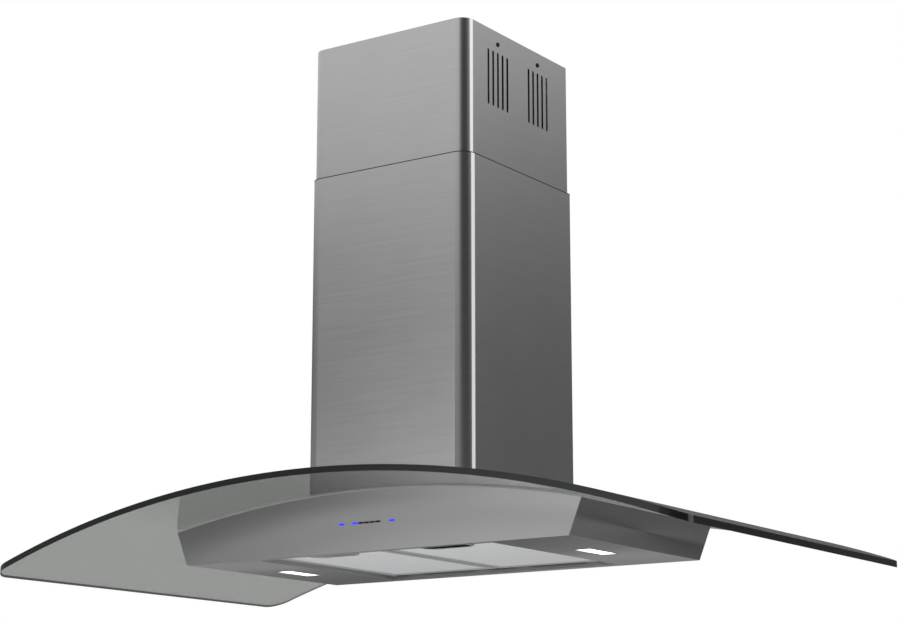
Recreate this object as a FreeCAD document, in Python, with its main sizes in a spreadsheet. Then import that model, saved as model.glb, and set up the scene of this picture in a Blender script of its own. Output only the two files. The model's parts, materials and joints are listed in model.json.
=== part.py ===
import FreeCAD, Part
import math
import os
import re
import Sketcher

# Island range hood, in millimetres. The origin is the middle of the ceiling plate's top face, +Z is up
# and -Y is the front, where the keys are. The sheet holds every size that can be set by itself.

doc = FreeCAD.newDocument("island_hood")
dims = doc.addObject("Spreadsheet::Sheet", "Dims")

SIZES = {
    "ceiling_drop": 714,        # ceiling down to the rim of the body
    "glass_width": 1067,
    "glass_depth": 617,         # along the straight ends
    "glass_bow": 6,             # how far the long edges stand out at their middle
    "glass_thick": 8,
    "glass_radius": 1564,       # of the glass's underside, bent about a level line front to back
    "glass_rise": 81,           # rim of the body to the glass's underside at its crown
    "glass_corner": 28,
    "glass_opening": 190,       # square hole that the blower's air comes up through
    "body_width": 608,          # at the rim
    "body_depth": 337,
    "body_flare": 19,           # how far each end leans out over flare_rise
    "flare_rise": 47.5,
    "sheet": 1.2,               # steel of the body
    "gasket": 2,
    "gasket_width": 12,
    "chimney_width": 264,
    "chimney_depth": 265,
    "chimney_corner": 21,
    "chimney_drop": 188,        # ceiling to the top of the lower chimney
    "chimney_wall": 1,
    "rear_bend": 3,
    "rear_return": 14,
    "rear_lap": 9,              # how far the rear panel reaches behind each return
    "telescope_gap": 1.5,
    "upper_length": 400,
    "vent_drop": 30,            # ceiling to the top of the vent slots
    "vent_length": 79,
    "vent_width": 4.6,
    "vent_pitch": 11.8,
    "vent_offset": 51,          # middle of each group of slots from the middle of the side
    "cover_screw_drop": 18,
    "cover_screw_radius": 1.75,
    "cover_head_radius": 3.2,
    "cover_head": 1.2,
    "cover_screw_reach": 9,
    "plate_thick": 3,
    "plate_margin": 5,          # plate in front of and behind the posts
    "plate_flange": 30,
    "duct_hole": 81,
    "bolt_hole": 4.5,
    "bolt_spacing_x": 170,
    "bolt_spacing_y": 120,
    "cable_hole": 9,
    "post_square": 200,         # outside of the upper posts
    "post_leg": 25,
    "post_wall": 2,
    "post_gap": 0.5,
    "post_drop": 155,           # ceiling to the top of the lower posts
    "rail_height": 20,
    "slot_width": 6,
    "slot_top": 142,            # below the ceiling
    "slot_length": 246,
    "slot_inset": 13,
    "clamp_drop": 230,          # frame clamp screws below the ceiling
    "clamp_screw_radius": 2.5,
    "clamp_head_radius": 4.5,
    "clamp_head": 3.5,
    "clamp_nut": 4,
    "clamp_plate_margin": 14.5, # plate outside the lower posts
    "clamp_plate_lift": 2,      # from the crown of the glass to the plate, taken up by the bushes
    "air_opening": 172,
    "foot_gap": 0.3,            # chimney's foot above the glass
    "glass_bolt_offset": 105,
    "glass_bolt_radius": 3,
    "glass_hole": 6,
    "bolt_head": 4,
    "bolt_nut": 5.3,
    "bush_wall": 2,
    "bush_gap": 0.7,
    "recess_width": 373,
    "recess_front_border": 10.5,
    "recess_rear_border": 16.5,
    "recess_depth": 5,
    "ledge": 4.5,
    "filter_gap": 1.5,
    "filter_middle": 2,         # half the gap between the two filters
    "filter_thick": 9,
    "filter_border": 10,
    "hinge_border": 5,          # hinge line in front of the recess's rear edge
    "hinge_setback": 5,         # hinge line to the filter's rear edge
    "hinge_ear": 8,
    "hinge_radius": 2,
    "knuckle_radius": 4,
    "knuckle_length": 20,
    "knuckle_inset": 22,
    "running_gap": 0.06,
    "cup_length": 72,
    "cup_width": 28,
    "cup_depth": 8,
    "cup_inset": 34,            # grip cup's middle from the filter's front edge
    "cup_wall": 1,
    "catch_length": 42,
    "catch_width": 5,
    "catch_gap": 0.3,
    "tongue_width": 16,
    "tongue_thick": 2,
    "mesh_inset": 0.5,
    "lamp_shift": 2.25,         # from midway between recess and end, towards the recess
    "lamp_width": 24,
    "lamp_length": 70,
    "lamp_height": 14,
    "lamp_flange": 3,
    "lens_inset": 0.2,
    "lens_thick": 2.8,
    "key_length": 7.6,
    "key_height": 2.2,
    "key_pitch": 9.1,
    "key_outer": 40,            # the two end keys from the middle
    "key_rise": 37.3,           # key row above the rim
    "key_stand": 0.8,
    "key_travel": 0.8,
    "key_gap": 0.2,
    "key_foot": 1.5,
    "key_stem": 3,
    "switch_thick": 1.5,
    "board_thick": 1.6,
    "cover_room": 5,
    "cover_lip": 3,
    "electronics_inset": 60,
    "electronics_width": 110,
    "electronics_depth": 50,
    "electronics_rise": 17,
    "electronics_height": 27,
    "board_length": 110,
    "board_height": 22,
    "board_offset": 6,
    "fan_radius": 60,
    "fan_eye": 46,
    "fan_width": 90,
    "fan_blades": 30,
    "blade_slant": 6,
    "blade_thick": 1.2,
    "ring_thick": 2,
    "hub_length": 22,
    "scroll_gap": 10,           # fan to the scroll at its narrowest
    "scroll_side": 10,          # fan to the scroll's two flat sides
    "scroll_step": 8,
    "scroll_outlet": 110,       # fan axis up to the outlet's top
    "scroll_shift": 12,         # fan axis to the left of the middle
    "scroll_lift": 7,           # clamp plate to the scroll's lowest point
    "inlet_radius": 50,
    "shaft_radius": 4,
    "motor_radius": 45,
    "motor_length": 56,
    "motor_gap": 2,
    "cap_radius": 15,
    "cap_length": 45,
    "cap_offset": 64,           # capacitor to the right of the fan axis
    "cap_rise": 36,
    "bracket_thick": 2,
    "bracket_foot": 20,
    "bracket_height": 25,
    "box_height": 40,
    "box_border": 9,            # collar to the outlet box's ends
    "box_lip": 3,               # and to its front and rear
    "collar_radius": 75,
    "collar_height": 50,
    "collar_wall": 1,
    "flap_rise": 25,
    "flap_pin": 2,
    "flap_offset": 5,
    "flap_thick": 1,
    "flap_gap": 1.5,
    "pin_inset": 0.7,
    "seat_width": 3,
    "seat_thick": 1.5,
    "supply_width": 33,         # junction box
    "supply_height": 60,
    "supply_drop": 6,           # lower posts' top to the junction box
    "gland_radius": 9,
    "gland_bore": 4,
    "gland_flange": 5,
    "gland_height": 14,
}

for row, (alias, value) in enumerate(SIZES.items(), 1):
    dims.set(f"A{row}", alias)
    dims.set(f"B{row}", str(value))
    dims.setAlias(f"B{row}", alias)
doc.recompute()

# Places that several pieces share, as expressions of the sheet's names.
RIM = "(0 - ceiling_drop)"
GLASS_AXIS = f"({RIM} + glass_rise - glass_radius)"
CROWN = f"({RIM} + glass_rise + glass_thick)"
CLAMP_LOW = f"({CROWN} + clamp_plate_lift)"
CLAMP_TOP = f"({CLAMP_LOW} + post_wall)"
UPPER_WIDTH = "(chimney_width - 2 * chimney_wall - 2 * telescope_gap)"
UPPER_DEPTH = "(chimney_depth - 2 * chimney_wall - 2 * telescope_gap)"
UPPER_CORNER = "(chimney_corner - chimney_wall - telescope_gap)"
CHIMNEY_TOP = "(0 - chimney_drop)"
LOWER_SQUARE = "(post_square - 2 * post_wall - 2 * post_gap)"
LOWER_LEG = "(post_leg - post_wall - post_gap)"
LOWER_POST_TOP = "(0 - post_drop)"
HALF_CLAMP_PLATE = f"({LOWER_SQUARE} / 2 + clamp_plate_margin)"
SCROLL_RADIUS = "(fan_radius + scroll_gap)"
HALF_SCROLL = "(fan_width / 2 + scroll_side)"
FAN_AXIS = f"({CLAMP_TOP} + scroll_lift + {SCROLL_RADIUS} + scroll_step)"
OUTLET_TOP = f"({FAN_AXIS} + scroll_outlet)"
BOX_TOP = f"({OUTLET_TOP} + box_height)"
FLAP_LINE = f"({BOX_TOP} + flap_rise)"
FACE = f"({RIM} + recess_depth)"
RECESS_FRONT = "(body_depth / 2 - recess_front_border)"
RECESS_REAR = "(body_depth / 2 - recess_rear_border)"
HINGE_OFFSET = f"({RECESS_REAR} - hinge_border)"
HINGE_LINE = f"({FACE} + filter_thick / 2)"
LAMP_OFFSET = "(recess_width / 4 + body_width / 4 - lamp_shift)"
KEY_LINE = f"({RIM} + key_rise)"
SHAFT_TURN = FreeCAD.Rotation(FreeCAD.Vector(1, 0, 0), -90)
SIDE_TURN = FreeCAD.Rotation(FreeCAD.Vector(0, 1, 0), 90)
made = []


def bound(text):
    """Names of the sheet get the sheet's own name in front, as expressions need it."""
    def named(word):
        return "Dims." + word.group() if word.group() in SIZES else word.group()

    return re.sub(r"[a-z_]+", named, text)


def bind(obj, **sizes):
    for name, text in sizes.items():
        obj.setExpression(name.replace("__", "."), bound(text))
    return obj


def keep(obj, label):
    """The object is a finished sub-part of the hood under this name."""
    obj.Label = label
    made.append(obj)
    return obj


def block(name, x, y, z):
    """A box between a low and a high expression along each axis."""
    obj = doc.addObject("Part::Box", name)
    bind(obj, Length=f"({x[1]}) - ({x[0]})", Width=f"({y[1]}) - ({y[0]})", Height=f"({z[1]}) - ({z[0]})")
    return bind(obj, Placement__Base__x=x[0], Placement__Base__y=y[0], Placement__Base__z=z[0])


def rod(name, radius, axis, at, span):
    """A cylinder along x, y or z. at is its place on the other two axes, in X, Y, Z order."""
    obj = doc.addObject("Part::Cylinder", name)
    bind(obj, Radius=radius, Height=f"({span[1]}) - ({span[0]})")
    if axis == "x":
        obj.Placement.Rotation = SIDE_TURN
        return bind(obj, Placement__Base__x=span[0], Placement__Base__y=at[0], Placement__Base__z=at[1])
    if axis == "y":
        obj.Placement.Rotation = SHAFT_TURN
        return bind(obj, Placement__Base__x=at[0], Placement__Base__y=span[0], Placement__Base__z=at[1])
    return bind(obj, Placement__Base__x=at[0], Placement__Base__y=at[1], Placement__Base__z=span[0])


def fuse(name, *parts):
    obj = doc.addObject("Part::MultiFuse", name)
    obj.Shapes = list(parts)
    return obj


def cut(name, base, *tools):
    obj = doc.addObject("Part::Cut", name)
    obj.Base = base
    obj.Tool = tools[0] if len(tools) == 1 else fuse(name + "_tools", *tools)
    return obj


def common(name, base, tool):
    obj = doc.addObject("Part::Common", name)
    obj.Base = base
    obj.Tool = tool
    return obj


def group(name, *parts):
    """Separate solids that share one name."""
    obj = doc.addObject("Part::Compound", name)
    obj.Links = list(parts)
    return obj


def sketch_on(body, role, offset):
    """A sketch on one of the body's own origin planes, moved along that plane's normal."""
    sketch = body.newObject("Sketcher::SketchObject", body.Name + "_sketch")
    plane = next(item for item in body.Origin.OriginFeatures if item.Role == role)
    sketch.AttachmentSupport = (plane, [""])
    sketch.MapMode = "FlatFace"
    return bind(sketch, AttachmentOffset__Base__z=offset)


def polygon(sketch, corners):
    """A closed outline whose corners are each held by two distances from the sketch's origin."""
    count = len(corners)
    ring = [FreeCAD.Vector(math.cos(turn), math.sin(turn), 0)
            for turn in (2 * math.pi * i / count for i in range(count))]
    for i in range(count):
        sketch.addGeometry(Part.LineSegment(ring[i], ring[(i + 1) % count]), False)
    for i in range(count):
        sketch.addConstraint(Sketcher.Constraint("Coincident", i, 2, (i + 1) % count, 1))
    for i, (across, up) in enumerate(corners):
        for kind, value, start in (("DistanceX", across, ring[i].x), ("DistanceY", up, ring[i].y)):
            index = sketch.addConstraint(Sketcher.Constraint(kind, -1, 1, i, 1, start))
            sketch.setExpression(f"Constraints[{index}]", bound(value))


def padded(name, role, corners, low, high):
    """A body with one outline padded from low to high along the plane's normal."""
    body = doc.addObject("PartDesign::Body", name)
    sketch = sketch_on(body, role, low)
    polygon(sketch, corners)
    pad = body.newObject("PartDesign::Pad", name + "_pad")
    pad.Profile = sketch
    bind(pad, Length=f"({high}) - ({low})")
    doc.recompute()
    return body


def rounded(body, radius, picked):
    """Fillets the body's edges that picked says yes to."""
    base = body.Tip
    edges = [f"Edge{i}" for i, edge in enumerate(base.Shape.Edges, 1) if picked(edge, base.Shape.BoundBox)]
    fillet = body.newObject("PartDesign::Fillet", body.Name + "_round")
    fillet.Base = (base, edges)
    bind(fillet, Radius=radius)
    doc.recompute()
    return body


def upright(edge):
    return edge.BoundBox.ZLength > 0.5 and edge.BoundBox.XLength < 1e-6 and edge.BoundBox.YLength < 1e-6


def rectangle(x, y):
    return [(x[0], y[0]), (x[1], y[0]), (x[1], y[1]), (x[0], y[1])]


def both(half):
    """The low and high expression of something as wide each side of the middle."""
    return (f"0 - {half}", half)


def stadium(name, x, y, z):
    """An oblong along x with half-round ends."""
    body = padded(name, "XY_Plane", rectangle(x, y), z[0], z[1])
    return rounded(body, f"(({y[1]}) - ({y[0]})) / 2 - 0.01", lambda edge, box: upright(edge))


def chimney_prism(name, width, depth, corner, bend, z):
    """Square tube outline: large corners at the front and tight bends at the rear."""
    body = padded(name, "XY_Plane", rectangle(both(f"{width} / 2"), both(f"{depth} / 2")), z[0], z[1])
    rounded(body, corner, lambda edge, box: upright(edge) and edge.BoundBox.YMax < box.YMin + 1)
    return rounded(body, bend, lambda edge, box: upright(edge) and edge.BoundBox.YMin > box.YMax - 1)


def chimney_covers(name, width, depth, corner, z, extra):
    """A front cover open at the rear between two returns, and the flat rear panel that closes it."""
    inner = [f"({size} - 2 * chimney_wall)" for size in (width, depth)]
    outside = chimney_prism(name + "_outside", width, depth, corner, "rear_bend", z)
    reach = (f"{z[0]} - 1", f"{z[1]} + 1")
    bends = (f"{corner} - chimney_wall", "rear_bend - chimney_wall")
    inside = chimney_prism(name + "_inside", *inner, *bends, reach)
    gap = block(name + "_gap", both(f"({width} / 2 - rear_return)"), ("0", f"{depth}"), reach)
    front = cut(name + "_front", outside, inside, gap, *extra)
    rear_x = both(f"({width} / 2 - rear_return + rear_lap)")
    rear_y = (f"{depth} / 2 - 2 * chimney_wall", f"{depth} / 2 - chimney_wall")
    return front, block(name + "_back", rear_x, rear_y, z)


def glass_cylinder(name, radius):
    """A level cylinder about the line that the glass is bent round."""
    return rod(name, radius, "y", ("0", GLASS_AXIS), ("0 - glass_depth", "glass_depth"))


def glass_band(name, low, high):
    """The bent layer between two radii."""
    return cut(name, glass_cylinder(name + "_top", high), glass_cylinder(name + "_under", low))


# Ceiling plate: a folded plate whose two flanges take the chimney screws.
plate_half = f"({UPPER_WIDTH} / 2 - chimney_wall - running_gap)"
plate_depth = "(post_square / 2 + plate_margin)"
plate_body = block("plate_body", both(plate_half), both(plate_depth), ("0 - plate_flange", "0"))
plate_room = block("plate_room", both(f"({plate_half} - plate_thick)"), both(f"2 * {plate_depth}"),
                   ("0 - plate_flange - 1", "0 - plate_thick"))
gland_line = f"({LOWER_SQUARE} / 2 - 2 * post_wall - supply_width / 2)"
plate_holes = [rod("plate_duct_hole", "duct_hole", "z", ("0", "0"), ("0 - plate_flange", "1")),
               rod("plate_cable_hole", "cable_hole", "z", (gland_line, gland_line), ("0 - plate_flange", "1"))]
for side_x in ("-1", "1"):
    for side_y in ("-1", "1"):
        at = (f"{side_x} * bolt_spacing_x / 2", f"{side_y} * bolt_spacing_y / 2")
        plate_holes.append(rod("plate_bolt_hole", "bolt_hole", "z", at, ("0 - plate_flange", "1")))


def cover_screw_holes(name):
    """Two level holes right across the chimney, through both sides."""
    places = [(f"{side} * vent_offset", "0 - cover_screw_drop") for side in ("-1", "1")]
    return [rod(name, "cover_screw_radius + running_gap", "x", at, both("chimney_width")) for at in places]


keep(cut("ceiling_plate", plate_body, plate_room, *plate_holes, *cover_screw_holes("plate_screw_hole")),
     "ceiling_plate")


def angle_posts(name, square, leg, z, slotted):
    """Four angle posts, corners outward. The upper ones have a slot for the clamp screws."""
    posts = []
    for side_x in (-1, 1):
        for side_y in (-1, 1):
            def span(side, start, end):
                near, far = f"({square} / 2 - ({start}))", f"({square} / 2 - ({end}))"
                return (far, near) if side > 0 else (f"0 - {near}", f"0 - {far}")
            along_x = block(name + "_leg", span(side_x, "0", leg), span(side_y, "0", "post_wall"), z)
            along_y = block(name + "_leg", span(side_x, "0", "post_wall"), span(side_y, "0", leg), z)
            post = fuse(name + "_post", along_x, along_y)
            if slotted:
                half = "slot_width / 2"
                slot_x = span(side_x, f"(slot_inset - {half})", f"(slot_inset + {half})")
                slot_y = span(side_y, "-1", "post_wall + 1")
                slot_z = ("0 - slot_top - slot_length", "0 - slot_top")
                post = cut(name + "_slotted", post, block(name + "_slot", slot_x, slot_y, slot_z))
            else:
                at = (f"{side_x} * (post_square / 2 - slot_inset)", "0 - clamp_drop")
                hole = rod(name + "_hole", "clamp_screw_radius", "y", at, both("post_square"))
                post = cut(name + "_drilled", post, hole)
            posts.append(post)
    return group(name, *posts)


upper_z = ("0 - upper_length", "0 - plate_thick")
keep(angle_posts("upper_posts", "post_square", "post_leg", upper_z, True), "upper_posts")
keep(angle_posts("lower_posts", LOWER_SQUARE, LOWER_LEG, (CLAMP_TOP, LOWER_POST_TOP), False), "lower_posts")

# Upper rails: flat bars across the outside of the upper posts, low on the ends and high front and rear.
half_post = "(post_square / 2)"
end_rail_z = ("0 - upper_length", "0 - upper_length + rail_height")
face_rail_z = ("0 - plate_flange - 2 * rail_height", "0 - plate_flange - rail_height")
rails = []
for outside in ((f"0 - {half_post} - post_wall", f"0 - {half_post}"), (half_post, f"{half_post} + post_wall")):
    rails.append(block("upper_rail", outside, both(half_post), end_rail_z))
    rails.append(block("upper_rail", both(half_post), outside, face_rail_z))
keep(group("upper_rails", *rails), "upper_rails")

# Lower rails: a square of flat bars inside the tops of the lower posts.
inner_post = f"({LOWER_SQUARE} / 2 - post_wall)"
inner_rail = f"({inner_post} - post_wall)"
rail_z = (f"{LOWER_POST_TOP} - rail_height", LOWER_POST_TOP)
ring_out = block("lower_rail_out", both(inner_post), both(inner_post), rail_z)
ring_in = block("lower_rail_in", both(inner_rail), both(inner_rail), (f"{rail_z[0]} - 1", f"{rail_z[1]} + 1"))
keep(cut("lower_rails", ring_out, ring_in), "lower_rails")

# Frame clamp screws: hexagon heads outside the upper posts, nuts inside the lower ones.
screws = []
for side_x in (-1, 1):
    for side_y in (-1, 1):
        x = f"{side_x} * (post_square / 2 - slot_inset)"
        outer = "(post_square / 2 + post_gap)"
        inner = f"({inner_post} - clamp_nut)"
        spans = [(f"{outer}", f"{outer} + clamp_head"), (inner, inner_post), (inner, outer)]
        radii = ["clamp_head_radius", "clamp_head_radius", "clamp_screw_radius"]
        if side_y < 0:
            spans = [(f"0 - ({far})", f"0 - ({near})") for near, far in spans]
        at = (x, "0 - clamp_drop")
        bits = [rod("clamp_screw_bit", radius, "y", at, span) for radius, span in zip(radii, spans)]
        screws.append(fuse("clamp_screw", *bits))
keep(group("frame_clamp_screws", *screws), "frame_clamp_screws")

# Upper chimney: vent slots and screw holes go through both sides.
vents = []
vent_z = ("0 - vent_drop - vent_length", "0 - vent_drop")
for side in ("-1", "1"):
    for step in range(-2, 3):
        middle = f"({side} * vent_offset + {step} * vent_pitch)"
        half = "(vent_width / 2)"
        flat_z = (f"{vent_z[0]} + {half}", f"{vent_z[1]} - {half}")
        vents.append(block("vent", both("chimney_width"), (f"{middle} - {half}", f"{middle} + {half}"), flat_z))
        vents += [rod("vent_end", half, "x", (middle, end), both("chimney_width")) for end in flat_z]
extra = [*vents, *cover_screw_holes("cover_screw_hole")]
upper_front, upper_rear = chimney_covers("upper_chimney", UPPER_WIDTH, UPPER_DEPTH, UPPER_CORNER,
                                         ("0 - upper_length", "0"), extra)
keep(upper_front, "upper_chimney_front")
keep(upper_rear, "upper_chimney_rear")

# Chimney screws: domed heads outside, shanks through the cover and the plate's flange.
screws = []
for side_x in (-1, 1):
    for side_y in ("-1", "1"):
        at = (f"{side_y} * vent_offset", "0 - cover_screw_drop")
        face = f"({UPPER_WIDTH} / 2)"
        spans = [(face, f"{face} + cover_head"), (f"{face} - cover_screw_reach", face)]
        if side_x < 0:
            spans = [(f"0 - ({far})", f"0 - ({near})") for near, far in spans]
        radii = ("cover_head_radius", "cover_screw_radius")
        bits = [rod("cover_screw_bit", radius, "x", at, span) for radius, span in zip(radii, spans)]
        screws.append(fuse("cover_screw", *bits))
keep(group("upper_chimney_screws", *screws), "upper_chimney_screws")

# Lower chimney: its foot follows the glass with a hair's gap, so that it can be lifted off.
over_glass = glass_cylinder("over_glass", "glass_radius + glass_thick + foot_gap")
foot = f"({CROWN} - 20)"
lower_front, lower_rear = chimney_covers("lower_chimney", "chimney_width", "chimney_depth", "chimney_corner",
                                         (foot, CHIMNEY_TOP), [over_glass])
keep(lower_front, "lower_chimney_front")
keep(cut("lower_chimney_rear_trimmed", lower_rear, over_glass), "lower_chimney_rear")

# Glass canopy: a rectangle with bowed long edges and rounded corners, laid over the bend.
outline = doc.addObject("PartDesign::Body", "glass_outline")
sketch = sketch_on(outline, "XY_Plane", f"{RIM} - glass_rise")
half_x, half_y = SIZES["glass_width"] / 2, SIZES["glass_depth"] / 2
for side in (-1, 1):
    near = FreeCAD.Vector(side * half_x, -side * half_y, 0)
    far = FreeCAD.Vector(side * half_x, side * half_y, 0)
    bowed = FreeCAD.Vector(0, side * (half_y + SIZES["glass_bow"]), 0)
    sketch.addGeometry(Part.LineSegment(near, far), False)
    sketch.addGeometry(Part.Arc(far, bowed, FreeCAD.Vector(-far.x, far.y, 0)), False)
for index in range(4):
    sketch.addConstraint(Sketcher.Constraint("Coincident", index, 2, (index + 1) % 4, 1))
for line, side in ((0, -1), (2, 1)):
    for end, way in ((1, -side), (2, side)):
        held = (("DistanceX", side, "glass_width", half_x), ("DistanceY", way, "glass_depth", half_y))
        for kind, factor, alias, start in held:
            index = sketch.addConstraint(Sketcher.Constraint(kind, -1, 1, line, end, factor * start))
            sketch.setExpression(f"Constraints[{index}]", bound(f"{factor} * {alias} / 2"))
    bow_radius = (half_x ** 2 + SIZES["glass_bow"] ** 2) / (2 * SIZES["glass_bow"])
    index = sketch.addConstraint(Sketcher.Constraint("Radius", line + 1, bow_radius))
    bow_text = "(glass_width ^ 2 / 4 + glass_bow ^ 2) / (2 * glass_bow)"
    sketch.setExpression(f"Constraints[{index}]", bound(bow_text))
pad = outline.newObject("PartDesign::Pad", "glass_outline_pad")
pad.Profile = sketch
bind(pad, Length="2 * glass_rise + glass_thick + 1")
doc.recompute()
rounded(outline, "glass_corner", lambda edge, box: upright(edge))
bent = common("glass_bent", outline, glass_band("glass_layer", "glass_radius", "glass_radius + glass_thick"))
body_z = (f"{RIM} - 1", CLAMP_TOP)
glass_cuts = [block("glass_cutout", both("glass_opening / 2"), both("glass_opening / 2"), body_z)]


def at_bolts(name, radius, span):
    """One upright cylinder at each of the four glass bolts."""
    sides = [(x, y) for x in ("-1", "1") for y in ("-1", "1")]
    places = [(f"{x} * glass_bolt_offset", f"{y} * glass_bolt_offset") for x, y in sides]
    return [rod(name, radius, "z", at, span) for at in places]


keep(cut("glass_canopy", bent, *glass_cuts, *at_bolts("glass_hole_tool", "glass_hole", body_z)), "glass_canopy")

# Clamp plate on top of the glass: it carries the frame and the blower.
plate = block("clamp_blank", both(HALF_CLAMP_PLATE), both(HALF_CLAMP_PLATE), (CLAMP_LOW, CLAMP_TOP))
air_way = block("air_way", both("air_opening / 2"), both("air_opening / 2"), body_z)
clamp_reach = (f"{CLAMP_LOW} - 1", f"{CLAMP_TOP} + 1")
clamp_holes = at_bolts("clamp_hole", "glass_bolt_radius + running_gap", clamp_reach)
keep(cut("clamp_drilled", plate, air_way, *clamp_holes), "clamp_plate")

# Glass bolts with nuts under the deck, in stepped rubber bushes that keep steel off the glass.
bolt_run = "glass_bolt_offset ^ 2"
deck_low = f"({GLASS_AXIS} + sqrt((glass_radius - gasket - sheet) ^ 2 - {bolt_run}))"
glass_top = f"({GLASS_AXIS} + sqrt((glass_radius + glass_thick) ^ 2 - {bolt_run}) + bush_gap)"
nut_z = (f"{deck_low} - bush_gap - bolt_nut", f"{deck_low} - bush_gap")
shanks = at_bolts("bolt_shank", "glass_bolt_radius", (nut_z[0], CLAMP_TOP))
heads = at_bolts("bolt_head", "2 * glass_bolt_radius", (CLAMP_TOP, f"{CLAMP_TOP} + bolt_head"))
nuts = at_bolts("bolt_nut", "2 * glass_bolt_radius - 1", nut_z)
keep(group("glass_bolts", *[fuse("glass_bolt", *bits) for bits in zip(shanks, heads, nuts)]), "glass_bolts")
sleeves = at_bolts("bush_sleeve", "glass_hole - 0.1", (f"{deck_low} + sheet + 1", glass_top))
collars = at_bolts("bush_collar", "glass_hole + bush_wall", (glass_top, CLAMP_LOW))
bores = at_bolts("bush_bore", "glass_bolt_radius + running_gap", body_z)
bushes = [cut("bush", fuse("bush_blank", *bits[:2]), bits[2]) for bits in zip(sleeves, collars, bores)]
keep(group("glass_bushes", *bushes), "glass_bushes")

# Body: the ends lean out from the rim, and every top edge is cut to the glass's bend, a gasket below it.
lean = "(body_flare * glass_rise / flare_rise)"
half_body = "(body_width / 2)"
front_face = "(0 - body_depth / 2)"
inside_face = f"({front_face} + sheet)"
rear_inside = "(body_depth / 2 - sheet)"
under_glass = glass_cylinder("under_glass", "glass_radius - gasket")


def flared(name, inset, y):
    """The body's front outline, between two places front to back."""
    low, high = f"({half_body} - {inset})", f"({half_body} + {lean} - {inset})"
    top = f"({RIM} + glass_rise)"
    corners = [(f"0 - {low}", RIM), (low, RIM), (high, top), (f"0 - {high}", top)]
    return padded(name, "XZ_Plane", corners, f"0 - ({y[1]})", f"0 - ({y[0]})")


def oblong(name, across, up, y):
    """A bar along x with half-round ends, seen from the front."""
    def level(edge, box):
        return edge.BoundBox.YLength > 0.5 and edge.BoundBox.XLength + edge.BoundBox.ZLength < 1e-6

    body = padded(name, "XZ_Plane", rectangle(across, up), f"0 - ({y[1]})", f"0 - ({y[0]})")
    return rounded(body, f"(({up[1]}) - ({up[0]})) / 2 - 0.01", level)


key_places = {"key_power": "(0 - key_outer)"}
key_places.update({f"key_speed_{step + 3}": f"({step} * key_pitch)" for step in range(-2, 3)})
key_places["key_light"] = "key_outer"


def key_bar(name, at, gap, y):
    across = (f"{at} - key_length / 2 - {gap}", f"{at} + key_length / 2 + {gap}")
    up = (f"{KEY_LINE} - key_height / 2 - {gap}", f"{KEY_LINE} + key_height / 2 + {gap}")
    return oblong(name, across, up, y)


panel = common("front_bent", flared("front_blank", "0", (front_face, inside_face)), under_glass)
slot_y = (f"{front_face} - 1", f"{inside_face} + 1")
slots = [key_bar(name + "_slot", at, "key_gap", slot_y) for name, at in key_places.items()]
keep(cut("front_panel", panel, *slots), "front_panel")
rear_blank = flared("rear_blank", "0", (rear_inside, "body_depth / 2"))
keep(common("rear_bent", rear_blank, under_glass), "rear_panel")
for name, side in (("left", "-1"), ("right", "1")):
    top = f"({RIM} + glass_rise)"
    corners = [(f"{side} * {half_body}", RIM), (f"{side} * ({half_body} + {lean})", top),
               (f"{side} * ({half_body} + {lean} - sheet)", top), (f"{side} * ({half_body} - sheet)", RIM)]
    blank = padded(f"side_blank_{name}", "XZ_Plane", corners, f"0 - {rear_inside}", f"0 - {inside_face}")
    keep(common(f"side_panel_{name}", blank, under_glass), f"side_panel_{name}")

# Gasket and deck: two bent layers under the glass, the deck inside the panels and the gasket on their edges.
gasket_out = flared("gasket_out", "0", both("(body_depth / 2)"))
gasket_in = flared("gasket_in", "gasket_width", both("(body_depth / 2 - gasket_width)"))
gasket_layer = glass_band("gasket_layer", "glass_radius - gasket", "glass_radius")
keep(common("glass_gasket", cut("gasket_ring", gasket_out, gasket_in), gasket_layer), "glass_gasket")
deck_plan = flared("deck_plan", "sheet", both(rear_inside))
deck_layer = glass_band("deck_layer", "glass_radius - gasket - sheet", "glass_radius - gasket")
deck_way = block("deck_way", both("air_opening / 2"), both("air_opening / 2"), body_z)
deck_holes = at_bolts("deck_hole", "glass_bolt_radius + running_gap", body_z)
keep(cut("deck_sheet", common("deck_bent", deck_plan, deck_layer), deck_way, *deck_holes), "deck_sheet")

# Underside: one sheet with the filter recess and two lamp windows, and the raised surround of the recess.
half_recess = "(recess_width / 2)"
recess_y = (f"0 - {RECESS_FRONT}", RECESS_REAR)
under_z = (RIM, f"{RIM} + sheet")
under_reach = (f"{RIM} - 1", f"{RIM} + lamp_height + 1")
windows = []
for side in ("-1", "1"):
    window_x = (f"{side} * {LAMP_OFFSET} - lamp_width / 2", f"{side} * {LAMP_OFFSET} + lamp_width / 2")
    windows.append(block("lamp_window", window_x, both("lamp_length / 2"), under_reach))
under_blank = block("under_blank", both(f"({half_body} - sheet)"), both(rear_inside), under_z)
keep(cut("underside_sheet", under_blank, block("recess", both(half_recess), recess_y, under_reach), *windows),
     "underside_sheet")
rim_x = both(f"({half_recess} + sheet)")
surround = block("surround_blank", rim_x, (f"{recess_y[0]} - sheet", f"{recess_y[1]} + sheet"),
                 (under_z[1], f"{FACE} + sheet"))
ear_y = (f"{HINGE_OFFSET} - hinge_ear", f"{recess_y[1]} + sheet")
ear_z = (under_z[1], f"{HINGE_LINE} + hinge_ear - 3")
ears = [block("hinge_ear", (half_recess, f"{half_recess} + sheet"), ear_y, ear_z),
        block("hinge_ear", (f"0 - {half_recess} - sheet", f"0 - {half_recess}"), ear_y, ear_z)]
recess_room = block("recess_room", both(half_recess), recess_y, (f"{RIM} - 1", FACE))
ledge_y = (f"{recess_y[0]} + ledge", recess_y[1])
ledge_room = block("ledge_room", both(f"({half_recess} - ledge)"), ledge_y, under_reach)
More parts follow.
